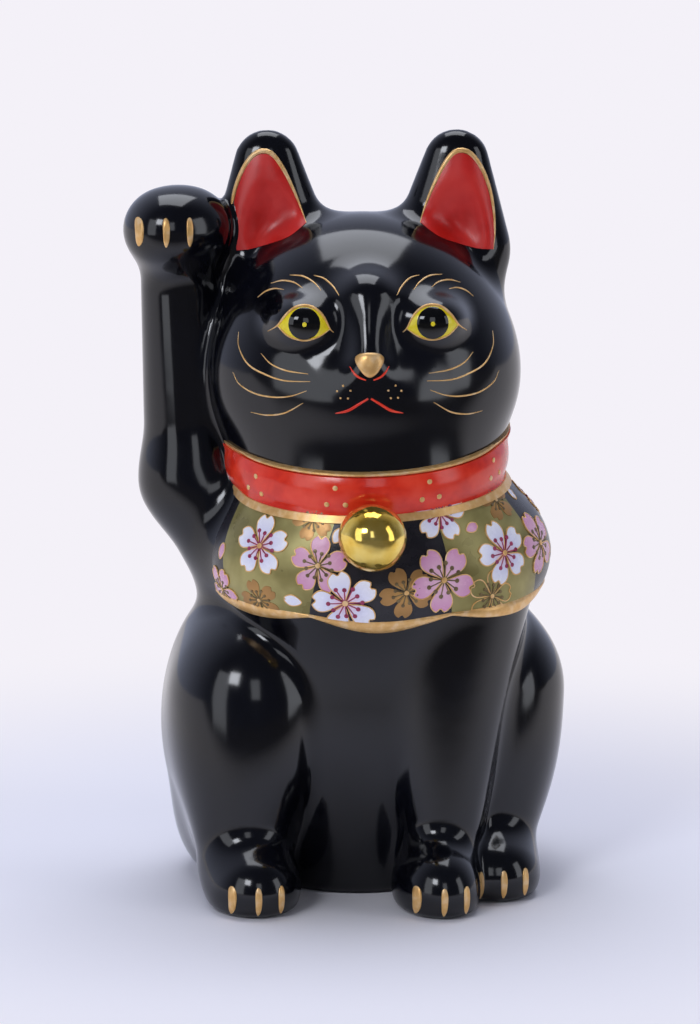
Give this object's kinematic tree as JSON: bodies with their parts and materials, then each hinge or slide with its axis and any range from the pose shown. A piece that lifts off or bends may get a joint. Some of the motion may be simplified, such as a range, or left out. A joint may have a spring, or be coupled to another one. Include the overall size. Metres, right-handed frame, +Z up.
{
  "type": "beckoning cat figurine",
  "caption": "Seated beckoning cat in black glazed ceramic with its right paw raised, a red collar, a gilt bell and a cherry-blossom bib.",
  "frame": {"origin": "middle of the bounding box, on the surface that the figurine stands on", "axes": "+Z up; the body faces -Y; the cat's own right, with the raised paw, is -X"},
  "size_m": [0.1614, 0.157, 0.2778],
  "materials": {
    "black_glaze": "gloss",
    "bare_clay": "matte",
    "collar_red": "gloss",
    "ear_red": "gloss",
    "bib_enamel": "gloss",
    "eye_yellow": "gloss",
    "gilt": "satin",
    "bright_gilt": "polished"
  },
  "bodies": {
    "root": {"base_slab": "bare_clay", "bell": "bright_gilt", "bib": "bib_enamel", "bib_hem_gilt": "gilt", "body_casting": "black_glaze", "collar_band": "collar_red", "collar_lower_gilt": "gilt", "collar_top_gilt": "gilt", "head_casting": "black_glaze", "left_ear": "black_glaze", "left_ear_enamel": "ear_red", "left_ear_gilt": "gilt", "left_eye_enamel": "eye_yellow", "left_fore_claw_1": "gilt", "left_fore_claw_2": "gilt", "left_fore_claw_3": "gilt", "left_hind_claw_1": "gilt", "left_hind_claw_2": "gilt", "left_hind_claw_3": "gilt", "left_lower_lid_gilt": "gilt", "left_pupil": "black_glaze", "left_upper_lid_gilt": "gilt", "left_whisker_1": "gilt", "left_whisker_2": "gilt", "left_whisker_3": "gilt", "left_whisker_4": "gilt", "mouth_left_enamel": "ear_red", "mouth_right_enamel": "ear_red", "nose_gilt": "gilt", "raised_arm": "black_glaze", "raised_claw_1": "gilt", "raised_claw_2": "gilt", "raised_claw_3": "gilt", "right_ear": "black_glaze", "right_ear_enamel": "ear_red", "right_ear_gilt": "gilt", "right_eye_enamel": "eye_yellow", "right_hind_claw_1": "gilt", "right_hind_claw_2": "gilt", "right_hind_claw_3": "gilt", "right_lower_lid_gilt": "gilt", "right_pupil": "black_glaze", "right_upper_lid_gilt": "gilt", "right_whisker_1": "gilt", "right_whisker_2": "gilt", "right_whisker_3": "gilt", "right_whisker_4": "gilt", "tail": "black_glaze"}
  },
  "joints": []
}
